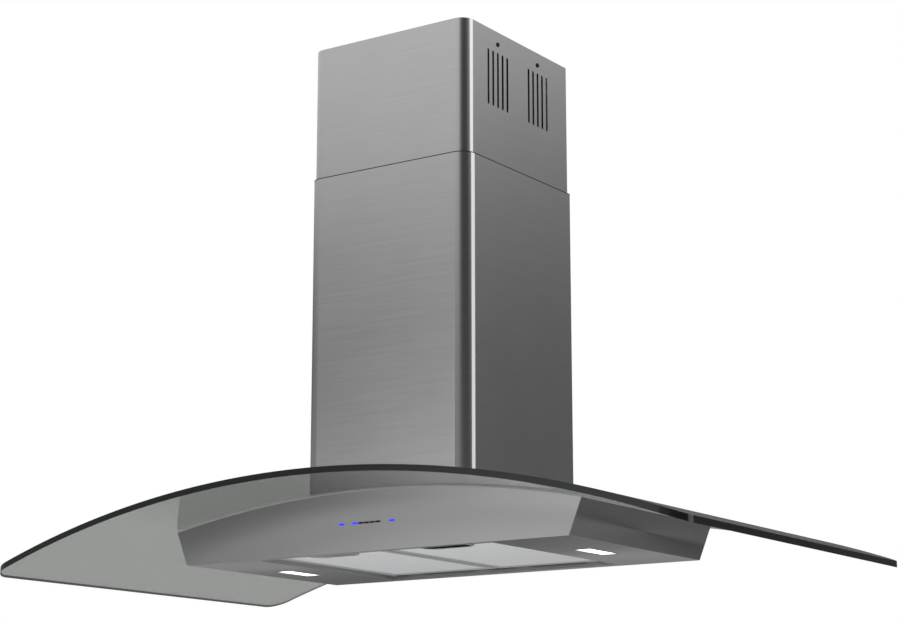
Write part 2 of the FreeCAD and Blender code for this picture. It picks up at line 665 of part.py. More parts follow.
keep(cut("filter_surround", fuse("surround_ears", surround, *ears), recess_room, ledge_room), "filter_surround")
hinge_at = (HINGE_OFFSET, HINGE_LINE)
keep(rod("filter_hinge_rod", "hinge_radius", "x", hinge_at, both(half_recess)), "filter_hinge_rod")

# Filters: frame with two knuckles on the hinge rod, mesh pad, grip cup, and the catch that slides in the cup.
filter_y = (f"({recess_y[0]} + ledge + filter_gap)", f"({HINGE_OFFSET} - hinge_setback)")
filter_z = (FACE, f"{FACE} + filter_thick")
through_z = (f"{FACE} - 1", f"{FACE} + filter_thick + 1")
cup_y = (f"({filter_y[0]} + cup_inset - cup_width / 2)", f"({filter_y[0]} + cup_inset + cup_width / 2)")
catch_y = (f"({cup_y[0]} + cup_wall + catch_gap)", f"({cup_y[0]} + cup_wall + catch_gap + catch_width)")
for name, side in (("left", "-1"), ("right", "1")):
    edges = ["filter_middle", f"({half_recess} - ledge - filter_gap)"]
    filter_x = tuple(edges) if side == "1" else (f"(0 - {edges[1]})", f"(0 - {edges[0]})")
    middle = f"(({filter_x[0]} + {filter_x[1]}) / 2)"
    open_x = (f"{filter_x[0]} + filter_border", f"{filter_x[1]} - filter_border")
    open_y = (f"{filter_y[0]} + filter_border", f"{filter_y[1]} - filter_border")
    ring = cut("filter_ring", block("filter_blank", filter_x, filter_y, filter_z),
               block("filter_room", open_x, open_y, through_z))
    knuckles = []
    for start in (f"({filter_x[0]} + knuckle_inset)", f"({filter_x[1]} - knuckle_inset - knuckle_length)"):
        knuckle_x = (start, f"{start} + knuckle_length")
        knuckles.append(rod("knuckle", "knuckle_radius", "x", hinge_at, knuckle_x))
        knuckles.append(block("knuckle_web", knuckle_x, (f"{filter_y[1]} - 1", HINGE_OFFSET),
                              (f"{HINGE_LINE} - knuckle_radius", f"{HINGE_LINE} + knuckle_radius")))
    bore = rod("knuckle_bore", "hinge_radius + running_gap", "x", hinge_at, filter_x)
    tongue_x = (f"{middle} - tongue_width / 2", f"{middle} + tongue_width / 2")
    tongue_z = (f"{FACE} + tongue_thick", f"{FACE} + 2 * tongue_thick")
    way = block("tongue_way", (f"{tongue_x[0]} - catch_gap", f"{tongue_x[1]} + catch_gap"),
                (f"{filter_y[0]} - 1", f"{cup_y[0]} + 2 * cup_wall"),
                (f"{tongue_z[0]} - catch_gap", f"{tongue_z[1]} + catch_gap"))
    keep(cut("filter_frame", fuse("filter_ring_knuckles", ring, *knuckles), bore, way), f"filter_frame_{name}")
    cup_x = (f"{middle} - cup_length / 2", f"{middle} + cup_length / 2")
    cup = stadium("cup_outside", cup_x, cup_y, (FACE, f"{FACE} + cup_depth"))
    room = stadium("cup_inside", (f"{cup_x[0]} + cup_wall", f"{cup_x[1]} - cup_wall"),
                   (f"{cup_y[0]} + cup_wall", f"{cup_y[1]} - cup_wall"),
                   (f"{FACE} - 1", f"{FACE} + cup_depth - cup_wall"))
    pad_z = (f"{FACE} + mesh_inset", f"{FACE} + filter_thick - 3 * mesh_inset")
    keep(cut("filter_mesh", block("mesh_blank", open_x, open_y, pad_z), cup, way), f"filter_mesh_{name}")
    keep(cut("filter_cup", cup, room, way), f"filter_cup_{name}")
    catch_x = (f"{middle} - catch_length / 2", f"{middle} + catch_length / 2")
    bar = block("catch_bar", catch_x, catch_y, (f"{FACE} + cup_wall", f"{FACE} + cup_depth - 2 * cup_wall"))
    tongue = block("catch_tongue", tongue_x, (f"{filter_y[0]} + key_gap", f"{catch_y[0]} + cup_wall"), tongue_z)
    keep(fuse("filter_catch", bar, tongue), f"filter_catch_{name}")

# Lamps: a housing above each window, with the lens just short of flush.
for name, side in (("left", "-1"), ("right", "1")):
    middle = f"{side} * {LAMP_OFFSET}"
    span_x = (f"{middle} - lamp_width / 2", f"{middle} + lamp_width / 2")
    housing = block("lamp_blank", (f"{span_x[0]} - lamp_flange", f"{span_x[1]} + lamp_flange"),
                    both("(lamp_length / 2 + lamp_flange)"), (under_z[1], f"{RIM} + lamp_height"))
    lens_x = (f"{span_x[0]} + catch_gap", f"{span_x[1]} - catch_gap")
    lens_y = both("(lamp_length / 2 - catch_gap)")
    lens_z = (f"{RIM} + lens_inset", f"{RIM} + lens_inset + lens_thick")
    room = block("lamp_room", lens_x, lens_y, (f"{RIM} - 1", lens_z[1]))
    keep(cut("lamp_housing", housing, room), f"lamp_housing_{name}")
    keep(block("lamp_lens", lens_x, lens_y, lens_z), f"lamp_lens_{name}")

# Keys: slim bars through the front panel, each with a foot that stops it and a stem to its switch.
board_y = (f"{inside_face} + board_offset", f"{inside_face} + board_offset + board_thick")
switch_y = (f"{board_y[0]} - switch_thick", board_y[0])
switches = []
for name, at in key_places.items():
    bar = key_bar(name + "_bar", at, "0", (f"{front_face} - key_stand", f"{inside_face} + 0.1"))
    foot_x = (f"{at} - key_length / 2", f"{at} + key_length / 2")
    foot_z = (f"{KEY_LINE} - key_height / 2 - key_foot", f"{KEY_LINE} + key_height / 2 + key_foot")
    key_foot = block(name + "_foot", foot_x, (f"{inside_face} + 0.05", f"{inside_face} + 1"), foot_z)
    stem_x = (f"{at} - key_stem / 2", f"{at} + key_stem / 2")
    stem_z = (f"{KEY_LINE} - key_stem / 3", f"{KEY_LINE} + key_stem / 3")
    stem_y = (f"{inside_face} + 1", f"{switch_y[0]} - key_travel - key_gap")
    stem = block(name + "_stem", stem_x, stem_y, stem_z)
    keep(fuse(name, bar, key_foot, stem), name)
    switches.append(block(name + "_switch", stem_x, switch_y, stem_z))
board_x = both("board_length / 2")
board_z = (f"{KEY_LINE} - board_height / 2", f"{KEY_LINE} + board_height / 2")
keep(fuse("control_board", block("board_plate", board_x, board_y, board_z), *switches), "control_board")
tray_z = (f"{board_z[0]} - cover_lip", f"{board_z[1]} + cover_lip")
tray = block("tray_blank", both("(board_length / 2 + cover_lip)"), (inside_face, f"{board_y[1]} + cover_room + 1"),
             tray_z)
tray_room = block("tray_room", board_x, (f"{inside_face} - 1", f"{board_y[1]} + cover_room"), board_z)
keep(cut("control_cover", tray, tray_room), "control_cover")
box_left = f"(electronics_inset - {half_body})"
box_low = f"({RIM} + electronics_rise)"
keep(block("electronics_box", (box_left, f"{box_left} + electronics_width"),
           (f"{rear_inside} - electronics_depth", rear_inside), (box_low, f"{box_low} + electronics_height")),
     "electronics_box")


# Fan wheel: a back plate with a hub, a ring of slanting blades, and a front ring.
wheel = doc.addObject("PartDesign::Body", "fan_wheel")
bind(wheel, Placement__Base__x="0 - scroll_shift", Placement__Base__z=FAN_AXIS)


def disc(name, radii, low, high):
    """Adds a flat ring or disc to the wheel, about its own Y axis."""
    sketch = sketch_on(wheel, "XZ_Plane", low)
    for index, radius in enumerate(radii):
        ring = Part.Circle(FreeCAD.Vector(0, 0, 0), FreeCAD.Vector(0, 0, 1), 10 + 20 * index)
        sketch.addGeometry(ring, False)
        sketch.addConstraint(Sketcher.Constraint("Coincident", index, 3, -1, 1))
        held = sketch.addConstraint(Sketcher.Constraint("Radius", index, 10.0 + 20 * index))
        sketch.setExpression(f"Constraints[{held}]", bound(radius))
    pad = wheel.newObject("PartDesign::Pad", name)
    pad.Profile = sketch
    bind(pad, Length=f"({high}) - ({low})")
    doc.recompute()


wheel_low = "0 - fan_width / 2"
disc("wheel_plate", ("shaft_radius", "fan_radius"), wheel_low, f"{wheel_low} + ring_thick")
disc("wheel_hub", ("shaft_radius", "3 * shaft_radius"), wheel_low, f"{wheel_low} + hub_length")
blade_sketch = sketch_on(wheel, "XZ_Plane", f"{wheel_low} + ring_thick / 2")
blade_in, blade_out = "fan_eye + ring_thick / 2", "fan_radius - ring_thick / 2"
blade_corners = [(blade_in, "0"), (blade_in, "blade_thick"), (blade_out, "blade_slant + blade_thick"),
                 (blade_out, "blade_slant")]
polygon(blade_sketch, blade_corners)
blade = wheel.newObject("PartDesign::Pad", "wheel_blade")
blade.Profile = blade_sketch
bind(blade, Length="fan_width - ring_thick")
doc.recompute()
blades = wheel.newObject("PartDesign::PolarPattern", "wheel_blades")
blades.Originals = [blade]
blades.Axis = (next(item for item in wheel.Origin.OriginFeatures if item.Role == "Y_Axis"), [""])
blades.Angle = 360
bind(blades, Occurrences="fan_blades")
wheel.Tip = blades
doc.recompute()
disc("wheel_ring", ("fan_eye", "fan_radius"), "fan_width / 2 - ring_thick", "fan_width / 2")
keep(wheel, "fan_wheel")


def size(alias):
    return getattr(dims, alias)


def scroll_block(inset, low, high, rise):
    """The scroll's outline, less a wall, from y low to high: three growing quarter turns and an outlet."""
    step, turn = size("scroll_step"), size("fan_radius") + size("scroll_gap") - inset
    x, z = fan_place.x, fan_place.z
    top = z + size("scroll_outlet") + rise
    places = [(x + inset, top), (x + inset, z + math.sqrt(turn ** 2 - inset ** 2)), (x - turn, z),
              (x + step, z - turn - step), (x + 3 * step + turn, z + step), (x + 3 * step + turn, top)]
    points = [FreeCAD.Vector(px, low, pz) for px, pz in places]
    slant = math.sqrt(0.5)
    bends = [FreeCAD.Vector(x - turn * slant, low, z + turn * slant),
             FreeCAD.Vector(x + step - (turn + step) * slant, low, z - (turn + step) * slant),
             FreeCAD.Vector(x + step + (turn + 2 * step) * slant, low, z + step - (turn + 2 * step) * slant)]
    edges = [Part.LineSegment(points[0], points[1]).toShape()]
    edges += [Part.Arc(points[i + 1], bend, points[i + 2]).toShape() for i, bend in enumerate(bends)]
    edges.append(Part.LineSegment(points[4], points[5]).toShape())
    edges.append(Part.LineSegment(points[5], points[0]).toShape())
    return Part.Face(Part.Wire(edges)).extrude(FreeCAD.Vector(0, high - low, 0))


# Blower: the scroll's rolled wrapper and rear side in one, and a flat front side with the air inlet.
half_scroll, sheet = size("fan_width") / 2 + size("scroll_side"), size("sheet")
fan_place = wheel.Placement.Base
inlet = Part.makeCylinder(size("inlet_radius"), half_scroll + 1, fan_place, FreeCAD.Vector(0, -1, 0))
shaft_way = Part.makeCylinder(size("shaft_radius") + 3, half_scroll + 1, fan_place, FreeCAD.Vector(0, 1, 0))
front_side = scroll_block(0, -half_scroll, sheet - half_scroll, 0).cut(inlet)
scroll_room = scroll_block(sheet, -half_scroll - 1, half_scroll - sheet, 1)
wrapper = scroll_block(0, sheet - half_scroll, half_scroll, 0).cut([scroll_room, shaft_way])
for name, shell in (("blower_front", front_side), ("blower_rear", wrapper)):
    housing = doc.addObject("Part::Feature", name)
    housing.Shape = shell
    housing.Placement = FreeCAD.Placement()
    keep(housing, name)
half_strip = f"({HALF_CLAMP_PLATE} - bracket_thick)"
brackets = []
for side in ("-1", "1"):
    face = f"({side} * {HALF_SCROLL})"
    far_y, foot_end = f"({face} + {side} * bracket_thick)", f"({face} + {side} * bracket_foot)"
    upright_y, foot_y = ((far_y, face), (foot_end, face)) if side == "-1" else ((face, far_y), (face, foot_end))
    strip = block("bracket_strip", both(half_strip), upright_y, (CLAMP_TOP, f"{CLAMP_TOP} + bracket_height"))
    feet = [block("bracket_foot", foot_x, foot_y, (CLAMP_TOP, f"{CLAMP_TOP} + bracket_thick"))
            for foot_x in ((f"0 - {half_strip}", "0 - air_opening / 2"), ("air_opening / 2", half_strip))]
    brackets.append(fuse("bracket", strip, *feet))
keep(group("blower_brackets", *brackets), "blower_brackets")

# Motor on a ring bracket behind the scroll, with its run capacitor beside it.
axis = ("0 - scroll_shift", FAN_AXIS)
motor_y = (f"({HALF_SCROLL} + motor_gap)", f"({HALF_SCROLL} + motor_gap + motor_length)")
ring_out = rod("bracket_disc", "motor_radius + scroll_gap", "y", axis, (HALF_SCROLL, motor_y[0]))
ring_in = rod("bracket_eye", "motor_radius / 2", "y", axis, (f"{HALF_SCROLL} - 1", f"{motor_y[0]} + 1"))
keep(cut("motor_ring", ring_out, ring_in), "motor_bracket")
can = rod("motor_can", "motor_radius", "y", axis, motor_y)
cap_y = (motor_y[1], f"{motor_y[1]} + shaft_radius")
cap = rod("motor_cap", "motor_radius - 3 * shaft_radius", "y", axis, cap_y)
bore_y = (f"{motor_y[0]} - 1", f"{motor_y[1]} - scroll_gap")
bore = rod("motor_bore", "shaft_radius + running_gap", "y", axis, bore_y)
keep(cut("motor_bored", fuse("motor_body", can, cap), bore), "fan_motor")
cap_at = ("cap_offset - scroll_shift", f"{FAN_AXIS} + cap_rise")
keep(rod("capacitor_can", "cap_radius", "y", cap_at, (HALF_SCROLL, f"{HALF_SCROLL} + cap_length")), "capacitor")

shaft_y = ("fan_width / 2 - hub_length", f"{motor_y[1]} - scroll_gap - 1")
keep(rod("shaft_rod", "shaft_radius", "y", axis, shaft_y), "fan_shaft")

# Outlet box: turns the scroll's offset outlet into the centred round collar.
half_box = ("(collar_radius + box_border)", "(collar_radius + box_lip)")
box_blank = block("box_blank", both(half_box[0]), both(half_box[1]), (OUTLET_TOP, BOX_TOP))
box_room = block("box_room", both(f"({half_box[0]} - sheet)"), both(f"({half_box[1]} - sheet)"),
                 (f"{OUTLET_TOP} + sheet", f"{BOX_TOP} - sheet"))
outlet_x = ("sheet - scroll_shift", f"{SCROLL_RADIUS} + 3 * scroll_step - scroll_shift - sheet")
floor_z = (f"{OUTLET_TOP} - 1", f"{OUTLET_TOP} + 2 * sheet")
box_floor = block("box_floor", outlet_x, both(f"({HALF_SCROLL} - sheet)"), floor_z)
collar_bore = "(collar_radius - collar_wall)"
box_eye = rod("box_eye", collar_bore, "z", ("0", "0"), (f"{BOX_TOP} - 2 * sheet", f"{BOX_TOP} + 1"))
keep(cut("outlet_box", box_blank, box_room, box_floor, box_eye), "outlet_box")
collar_z = (BOX_TOP, f"{BOX_TOP} + collar_height")
pipe = cut("collar_pipe", rod("collar_out", "collar_radius", "z", ("0", "0"), collar_z),
           rod("collar_in", collar_bore, "z", ("0", "0"), (f"{collar_z[0]} - 1", f"{collar_z[1]} + 1")))
seat_top = f"({FLAP_LINE} - flap_thick / 2 - 0.1)"
seat_z = (f"{seat_top} - seat_thick", seat_top)
seat_reach = (f"{seat_z[0]} - 1", f"{seat_z[1]} + 1")
seat = cut("collar_seat", rod("seat_out", f"{collar_bore} + collar_wall / 2", "z", ("0", "0"), seat_z),
           rod("seat_in", f"{collar_bore} - 1 - seat_width", "z", ("0", "0"), seat_reach))


def flap_pins(name, radius):
    """Level holes for the two flap pins, right across the collar."""
    places = [(f"{side} * flap_offset", FLAP_LINE) for side in ("-1", "1")]
    return [rod(name, radius, "y", at, both("(collar_radius + 1)")) for at in places]


seat = cut("seat_notched", seat, *flap_pins("pin_room", "flap_pin + 0.4"))
seated = fuse("collar_with_seat", pipe, seat)
keep(cut("collar_drilled", seated, *flap_pins("pin_hole", "flap_pin + running_gap")), "duct_collar")

# Damper flaps: half discs, each fixed to its own pin, that the air lifts and their weight closes.
for name, side in (("left", "-1"), ("right", "1")):
    flap_z = (f"{FLAP_LINE} - flap_thick / 2", f"{FLAP_LINE} + flap_thick / 2")
    whole = rod("flap_disc", f"{collar_bore} - flap_gap", "z", ("0", "0"), flap_z)
    half_x = ("flap_offset", "collar_radius") if side == "1" else ("0 - collar_radius", "0 - flap_offset")
    leaf = common("flap_leaf", whole, block("flap_half", half_x, both("collar_radius"), flap_z))
    pin_at = (f"{side} * flap_offset", FLAP_LINE)
    pin = rod("flap_pin_rod", "flap_pin", "y", pin_at, both("(collar_radius - pin_inset)"))
    keep(fuse("damper_flap", leaf, pin), f"damper_flap_{name}")

# Junction box for the house wiring, inside a corner of the lower rails, with its cable gland on top.
box_xy = (f"({inner_rail} - supply_width)", inner_rail)
box_top = f"({LOWER_POST_TOP} - supply_drop)"
keep(block("junction_box", box_xy, box_xy, (f"{box_top} - supply_height", box_top)), "junction_box")
gland_at = (gland_line, gland_line)
gland_parts = [rod("gland_nut", "gland_radius", "z", gland_at, (box_top, f"{box_top} + gland_flange")),
               rod("gland_dome", "gland_radius - 2", "z", gland_at, (box_top, f"{box_top} + gland_height"))]
gland_way = rod("gland_way", "gland_bore", "z", gland_at, (f"{box_top} + 1", f"{box_top} + gland_height + 1"))
keep(cut("gland_bored", fuse("gland_body", *gland_parts), gland_way), "cable_gland")

doc.recompute()
for obj in doc.Objects:
    if {"Invalid", "Error"} & set(obj.State):
        raise RuntimeError(f"{obj.Label} is {obj.State}")
for obj in made:
    if obj.Shape.isNull() or not obj.Shape.isValid() or not obj.Shape.Solids:
        raise RuntimeError(f"{obj.Label} has no valid solid")
os.makedirs("parts", exist_ok=True)
for obj in made:
    obj.Shape.exportStep(f"parts/{obj.Label}.step")
print(len(made), "sub-parts written")
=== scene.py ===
import bmesh
import bpy
import json
import math
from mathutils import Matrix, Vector


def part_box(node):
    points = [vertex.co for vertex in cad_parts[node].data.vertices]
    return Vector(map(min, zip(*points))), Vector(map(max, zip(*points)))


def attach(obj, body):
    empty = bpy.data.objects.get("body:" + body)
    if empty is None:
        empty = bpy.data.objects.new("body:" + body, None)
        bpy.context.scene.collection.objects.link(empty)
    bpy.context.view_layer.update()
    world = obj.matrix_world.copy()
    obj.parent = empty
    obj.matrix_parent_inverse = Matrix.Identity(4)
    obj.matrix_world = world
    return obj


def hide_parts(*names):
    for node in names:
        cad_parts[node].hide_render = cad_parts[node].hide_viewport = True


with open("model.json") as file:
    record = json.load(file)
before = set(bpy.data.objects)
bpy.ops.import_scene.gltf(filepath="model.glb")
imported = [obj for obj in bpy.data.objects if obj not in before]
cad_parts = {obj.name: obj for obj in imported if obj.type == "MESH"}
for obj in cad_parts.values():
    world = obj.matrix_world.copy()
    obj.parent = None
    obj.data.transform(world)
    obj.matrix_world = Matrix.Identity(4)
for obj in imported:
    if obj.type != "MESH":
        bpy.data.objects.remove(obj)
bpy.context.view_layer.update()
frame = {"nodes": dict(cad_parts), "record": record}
scene = bpy.context.scene


# Camera: stands in front of the hood and to its right, a little below the rim, and looks up at it.
# A long lens keeps the chimney's sides nearly upright.
camera_data = bpy.data.cameras.new("camera")
camera_data.sensor_width = 36
camera_data.lens = 85.3
camera = bpy.data.objects.new("camera", camera_data)
camera.location = (1.634, -2.371, -1.023)
camera.rotation_euler = (math.radians(90 + 12.85), 0, math.radians(34.32))
scene.collection.objects.link(camera)
scene.camera = camera


# Studio: a white cyclorama with soft light from above and the front left, a dark side on the right, a tall
# lamp behind the hood on the right that draws a bright line down each rounded edge, and a low lamp in
# front that fills the underside. The matt pale floor is kept out of the steel's reflections.
def add(tree, kind, feeds=None, **settings):
    """One node with its settings; each feed is a value or another node's output."""
    made = tree.nodes.new(kind)
    for name, value in settings.items():
        setattr(made, name, value)
    for name, value in (feeds or {}).items():
        if isinstance(value, bpy.types.NodeSocket):
            tree.links.new(value, made.inputs[name])
        else:
            made.inputs[name].default_value = value
    return made


def linear(code):
    """The linear colour of an sRGB hex code such as c8c8c8."""
    parts = [int(code[i:i + 2], 16) / 255 for i in (0, 2, 4)]
    return (*[p / 12.92 if p <= 0.04045 else ((p + 0.055) / 1.055) ** 2.4 for p in parts], 1)


scene.view_settings.view_transform = "Standard"
world = bpy.data.worlds.new("studio")
world.use_nodes = True
scene.world = world
sky = world.node_tree
sky.nodes.clear()
way = add(sky, "ShaderNodeTexCoord").outputs["Generated"]
height = add(sky, "ShaderNodeSeparateXYZ", {0: way}).outputs["Z"]
height = add(sky, "ShaderNodeMapRange", {"Value": height, "From Min": -1, "From Max": 1}).outputs["Result"]
tones = []
# Brightness by the height of the direction looked in, from -1 straight down to 1 straight up.
front_tones = ((-1, 0.10), (-0.3, 0.12), (-0.06, 0.25), (0.09, 0.44), (0.14, 0.36), (0.187, 0.14), (0.222, 0.15),
               (0.25, 0.32), (0.275, 0.66), (0.30, 0.78), (0.345, 0.86), (0.5, 0.95), (1, 0.9))
back_tones = ((-1, 0.50), (-0.38, 0.42), (-0.24, 0.09), (-0.10, 0.04), (-0.06, 0.22), (0.05, 0.26), (0.12, 0.12),
              (0.187, 0.145), (0.235, 0.18), (0.28, 0.25), (0.30, 0.30), (0.345, 0.60), (0.5, 0.95), (1, 0.9))
for stops in (front_tones, back_tones):
    ramp = add(sky, "ShaderNodeValToRGB", {"Fac": height})
    for index, (at, tone) in enumerate(stops):
        stop = ramp.color_ramp.elements[index] if index < 2 else ramp.color_ramp.elements.new((at + 1) / 2)
        stop.position = (at + 1) / 2
        stop.color = (tone, tone, tone, 1)
    tones.append(ramp.outputs["Color"])
# How far a direction points to the bright front left, to the dark right and to a small bright panel in front.
toward = []
for turn, rise, low, high in ((-126, 0, -0.3, 0.6), (-36, 0, 0.55, 0.95), (-119.5, 0, 0.976, 0.9975)):
    aim = Vector((math.cos(math.radians(turn)), math.sin(math.radians(turn)), rise)).normalized()
    along = add(sky, "ShaderNodeVectorMath", {0: way, 1: aim}, operation="DOT_PRODUCT").outputs["Value"]
    toward.append(add(sky, "ShaderNodeMapRange", {"Value": along, "From Min": low, "From Max": high},
                      interpolation_type="SMOOTHSTEP").outputs["Result"])
around = add(sky, "ShaderNodeMix", {0: toward[0], 6: tones[1], 7: tones[0]}, data_type="RGBA").outputs[2]
dark_side = (0.06, 0.06, 0.06, 1)
bright_panel = (1.15, 1.15, 1.15, 1)
white = (1, 1, 1, 1)
above = add(sky, "ShaderNodeMapRange", {"Value": height, "From Min": 0.53, "From Max": 0.57}).outputs["Result"]
shade = add(sky, "ShaderNodeMath", {0: toward[1], 1: above}, operation="MULTIPLY").outputs[0]
around = add(sky, "ShaderNodeMix", {0: shade, 6: around, 7: dark_side}, data_type="RGBA").outputs[2]
around = add(sky, "ShaderNodeMix", {0: toward[2], 6: around, 7: bright_panel}, data_type="RGBA").outputs[2]
rays = add(sky, "ShaderNodeLightPath").outputs
plain = add(sky, "ShaderNodeMath", {0: rays["Is Camera Ray"], 1: rays["Is Transmission Ray"]},
            operation="MAXIMUM").outputs[0]
around = add(sky, "ShaderNodeMix", {0: plain, 6: around, 7: white}, data_type="RGBA").outputs[2]
glow = add(sky, "ShaderNodeBackground", {"Color": around, "Strength": 1.0}).outputs[0]
add(sky, "ShaderNodeOutputWorld", {"Surface": glow})

for name, place, aim, wide, tall, watts in (
        ("overhead_light", (-0.3, -0.4, 2.4), (0, 0, -0.5), 2.6, 2.6, 70),
        ("edge_light", (2.60, 1.44, 0.25), (0, 0, -0.35), 1.8, 2.6, 16),
        ("low_fill_light", (0.5, -1.6, -2.1), (0, 0, -0.7), 1.4, 1.4, 16)):
    lamp_data = bpy.data.lights.new(name, "AREA")
    lamp_data.shape = "RECTANGLE"
    lamp_data.size = wide
    lamp_data.size_y = tall
    lamp_data.energy = watts
    studio_lamp = bpy.data.objects.new(name, lamp_data)
    studio_lamp.location = place
    studio_lamp.rotation_euler = (Vector(aim) - Vector(place)).to_track_quat("-Z", "Y").to_euler()
    studio_lamp.visible_camera = False
    studio_lamp.visible_glossy = name != "overhead_light"
    studio_lamp.visible_transmission = False
    scene.collection.objects.link(studio_lamp)

floor_paint = bpy.data.materials.new("matt_studio_floor")
floor_paint.use_nodes = True
tree = floor_paint.node_tree
place = add(tree, "ShaderNodeTexCoord").outputs["Object"]
speckle = add(tree, "ShaderNodeTexNoise", {"Vector": place, "Scale": 40, "Detail": 3}).outputs["Fac"]
pale = add(tree, "ShaderNodeMix", {0: speckle, 6: linear("e9e9e8"), 7: linear("efefee")},
           data_type="RGBA").outputs[2]
shader = tree.nodes["Principled BSDF"]
tree.links.new(pale, shader.inputs["Base Color"])
shader.inputs["Roughness"].default_value = 0.9
shader.inputs["Specular IOR Level"].default_value = 0.1
shader.inputs["Emission Color"].default_value = white
shader.inputs["Emission Strength"].default_value = 0.16
floor_height = -2.4
bpy.ops.mesh.primitive_plane_add(size=120, location=(0, 0, floor_height))
floor = bpy.context.object
floor.name = "studio_floor"
floor.data.materials.append(floor_paint)
floor.visible_glossy = False


# Galvanised steel: the ceiling plate, the two telescoping sets of angle posts with their rails, the clamp
# plate, the deck under the glass, the blower's scroll and its brackets, the outlet box, collar and flaps are
# folded from hot-dip galvanised sheet, so the zinc's crystals show as faint patches of light and dark.
def surface(name, **sockets):
    """A new material whose uniform sockets are set on its shader. Gives its tree, shader and object coordinates."""
    material = bpy.data.materials.new(name)
    material.use_nodes = True
    shader = material.node_tree.nodes["Principled BSDF"]
    for socket, value in sockets.items():
        shader.inputs[socket.replace("_", " ")].default_value = value
    return material, material.node_tree, shader, add(material.node_tree, "ShaderNodeTexCoord").outputs["Object"]


def mottled(tree, shader, pattern, dark, light, smooth, rough):
    """The pattern takes the colour from dark to light and the roughness from smooth to rough."""
    colour = add(tree, "ShaderNodeMix", {0: pattern, 6: linear(dark), 7: linear(light)}, data_type="RGBA").outputs[2]
    tree.links.new(colour, shader.inputs["Base Color"])
    dull = add(tree, "ShaderNodeMapRange", {"Value": pattern, "To Min": smooth, "To Max": rough}).outputs["Result"]
    tree.links.new(dull, shader.inputs["Roughness"])


def raised(tree, shader, pattern, distance, strength=1.0):
    """The pattern stands out of the surface by that distance in metres."""
    bump = add(tree, "ShaderNodeBump", {"Height": pattern, "Distance": distance, "Strength": strength})
    tree.links.new(bump.outputs["Normal"], shader.inputs["Normal"])


galvanised, tree, shader, place = surface("hot_dip_galvanised_sheet", Metallic=1.0)
crystals = add(tree, "ShaderNodeTexVoronoi", {"Vector": place, "Scale": 1 / 0.009}).outputs["Color"]
crystals = add(tree, "ShaderNodeSeparateColor", {"Color": crystals}).outputs["Red"]
frost = add(tree, "ShaderNodeTexNoise", {"Vector": place, "Scale": 1 / 0.0025, "Detail": 4}).outputs["Fac"]
crystals = add(tree, "ShaderNodeMath", {0: crystals, 1: frost}, operation="MULTIPLY").outputs[0]
mottled(tree, shader, crystals, "7f8386", "b9bdc0", 0.32, 0.55)
raised(tree, shader, frost, 0.00006, 0.5)


def finish(material, *nodes):
    """These CAD nodes keep their own shape and take this material."""
    for node in nodes:
        for slot in frame["nodes"][node].material_slots:
            slot.material = material


finish(galvanised, "ceiling_plate", "upper_posts", "upper_rails", "lower_posts", "lower_rails", "clamp_plate",
       "deck_sheet", "blower_front", "blower_rear", "blower_brackets", "motor_bracket", "outlet_box",
       "duct_collar", "damper_flap_left", "damper_flap_right")


# Chimney: four covers of brushed stainless sheet, 1 mm thick. Each front cover is folded with two large
# round bends and open at the rear, where a flat panel closes it. The grain runs level round the covers, so
# reflections are drawn out upright and stay crisp from side to side.
def stainless(name, tint_low, tint_high, smooth, rough, grain, turn):
    """Brushed stainless sheet. grain is the streak's length along X, Y and Z in metres."""
    material, tree, shader, place = surface(name, Metallic=1.0, Anisotropic=0.7, Anisotropic_Rotation=turn)
    stretched = add(tree, "ShaderNodeMapping", {"Vector": place, "Scale": [1 / length for length in grain]})
    streaks = add(tree, "ShaderNodeTexNoise", {"Vector": stretched.outputs["Vector"], "Scale": 1.0, "Detail": 5,
                                               "Roughness": 0.65}).outputs["Fac"]
    clouds = add(tree, "ShaderNodeTexNoise", {"Vector": place, "Scale": 1 / 0.11, "Detail": 2}).outputs["Fac"]
    both = add(tree, "ShaderNodeMix", {0: 0.25, 2: streaks, 3: clouds}, data_type="FLOAT").outputs[0]
    mottled(tree, shader, both, tint_low, tint_high, smooth, rough)
    raised(tree, shader, streaks, 0.00002, 0.1)
    tangent = add(tree, "ShaderNodeTangent", direction_type="RADIAL", axis="Z").outputs["Tangent"]
    tree.links.new(tangent, shader.inputs["Tangent"])
    return material


def select_only(piece):
    bpy.ops.object.select_all(action="DESELECT")
    piece.select_set(True)
    bpy.context.view_layer.objects.active = piece


def use(piece, kind, **settings):
    """Adds a modifier to the piece and applies it."""
    select_only(piece)
    modifier = piece.modifiers.new(kind.lower(), kind)
    for name, value in settings.items():
        setattr(modifier, name, value)
    bpy.ops.object.modifier_apply(modifier=modifier.name)


def smooth_faces(piece, angle=32):
    """Rounded parts are shaded round and flat parts stay flat."""
    select_only(piece)
    bpy.ops.object.shade_smooth_by_angle(angle=math.radians(angle))
    use(piece, "WEIGHTED_NORMAL", keep_sharp=True, weight=100)


def settle(piece, body, slot, material, *nodes):
    """The finished piece takes its material, rides on its body and stands for the CAD nodes."""
    piece.data.materials.clear()
    piece.data.materials.append(material)
    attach(piece, body)
    if nodes:
        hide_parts(*nodes)
    return piece


def merged_copy(node, name):
    """A copy of a CAD node with no doubled points, left in edit mode with all of it selected."""
    piece = bpy.data.objects.new(name, frame["nodes"][node].data.copy())
    scene.collection.objects.link(piece)
    select_only(piece)
    bpy.ops.mesh.customdata_custom_splitnormals_clear()
    bpy.ops.object.mode_set(mode="EDIT")
    bpy.ops.mesh.select_all(action="SELECT")
    bpy.ops.mesh.remove_doubles(threshold=2e-6)
    return piece


body_of_node = {node: body for body, nodes in frame["record"]["behaviour"]["bodies"].items() for node in nodes}


